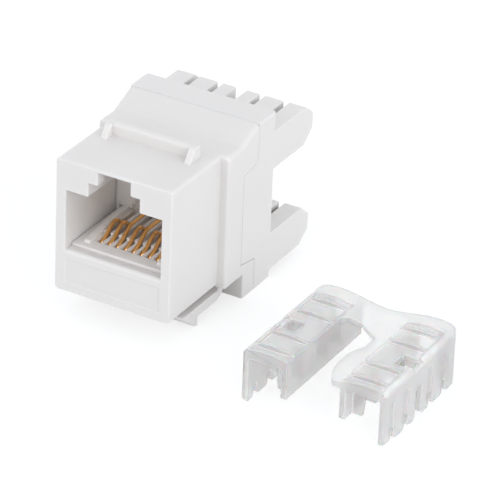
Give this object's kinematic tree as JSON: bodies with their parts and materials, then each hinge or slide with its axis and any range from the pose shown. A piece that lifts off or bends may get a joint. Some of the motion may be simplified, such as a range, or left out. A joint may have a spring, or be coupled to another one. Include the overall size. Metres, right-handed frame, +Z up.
{
  "type": "keystone jack",
  "caption": "Snap-in modular jack with a plug port in front, punch-down wire towers behind, and a clear wire cap standing beside it.",
  "frame": {"origin": "on the surface the jack stands on, under the middle of its foot", "axes": "+X to the right seen from the front, the plug port faces -Y, +Z up"},
  "size_m": [0.0442, 0.0331, 0.0207],
  "materials": {
    "housing_white": "satin moulded, white",
    "carrier_white": "satin moulded, off-white",
    "board_green": "solder mask over glass laminate",
    "contact_gold": "gold plated, bright",
    "terminal_tin": "tin plated, satin",
    "cap_clear": "clear, moulded and polished"
  },
  "bodies": {
    "root": {"front_housing": "housing_white", "terminal_block": "housing_white", "contact_carrier": "carrier_white", "circuit_board": "board_green", "idc_terminal_1": "terminal_tin", "idc_terminal_2": "terminal_tin", "idc_terminal_3": "terminal_tin", "idc_terminal_4": "terminal_tin", "idc_terminal_5": "terminal_tin", "idc_terminal_6": "terminal_tin", "idc_terminal_7": "terminal_tin", "idc_terminal_8": "terminal_tin", "wire_cap": "cap_clear"},
    "contact_1": {"spring_contact_1": "contact_gold"},
    "contact_2": {"spring_contact_2": "contact_gold"},
    "contact_3": {"spring_contact_3": "contact_gold"},
    "contact_4": {"spring_contact_4": "contact_gold"},
    "contact_5": {"spring_contact_5": "contact_gold"},
    "contact_6": {"spring_contact_6": "contact_gold"},
    "contact_7": {"spring_contact_7": "contact_gold"},
    "contact_8": {"spring_contact_8": "contact_gold"}
  },
  "joints": [
    {"name": "contact_1_flex", "type": "hinge", "parent": "root", "child": "contact_1", "pos_m": [-0.00357, -0.00495, 0.00815], "axis": [1, 0, 0], "range_deg": [0, 5.8], "stiffness_Nm_per_rad": 0.03},
    {"name": "contact_2_flex", "type": "hinge", "parent": "root", "child": "contact_2", "pos_m": [-0.00255, -0.00495, 0.00815], "axis": [1, 0, 0], "range_deg": [0, 5.8], "stiffness_Nm_per_rad": 0.03},
    {"name": "contact_3_flex", "type": "hinge", "parent": "root", "child": "contact_3", "pos_m": [-0.00153, -0.00495, 0.00995], "axis": [1, 0, 0], "range_deg": [0, 5.8], "stiffness_Nm_per_rad": 0.03},
    {"name": "contact_4_flex", "type": "hinge", "parent": "root", "child": "contact_4", "pos_m": [-0.00051, -0.00495, 0.00815], "axis": [1, 0, 0], "range_deg": [0, 5.8], "stiffness_Nm_per_rad": 0.03},
    {"name": "contact_5_flex", "type": "hinge", "parent": "root", "child": "contact_5", "pos_m": [0.00051, -0.00495, 0.00995], "axis": [1, 0, 0], "range_deg": [0, 5.8], "stiffness_Nm_per_rad": 0.03},
    {"name": "contact_6_flex", "type": "hinge", "parent": "root", "child": "contact_6", "pos_m": [0.00153, -0.00495, 0.00815], "axis": [1, 0, 0], "range_deg": [0, 5.8], "stiffness_Nm_per_rad": 0.03},
    {"name": "contact_7_flex", "type": "hinge", "parent": "root", "child": "contact_7", "pos_m": [0.00255, -0.00495, 0.00815], "axis": [1, 0, 0], "range_deg": [0, 5.8], "stiffness_Nm_per_rad": 0.03},
    {"name": "contact_8_flex", "type": "hinge", "parent": "root", "child": "contact_8", "pos_m": [0.00357, -0.00495, 0.00815], "axis": [1, 0, 0], "range_deg": [0, 5.8], "stiffness_Nm_per_rad": 0.03}
  ]
}
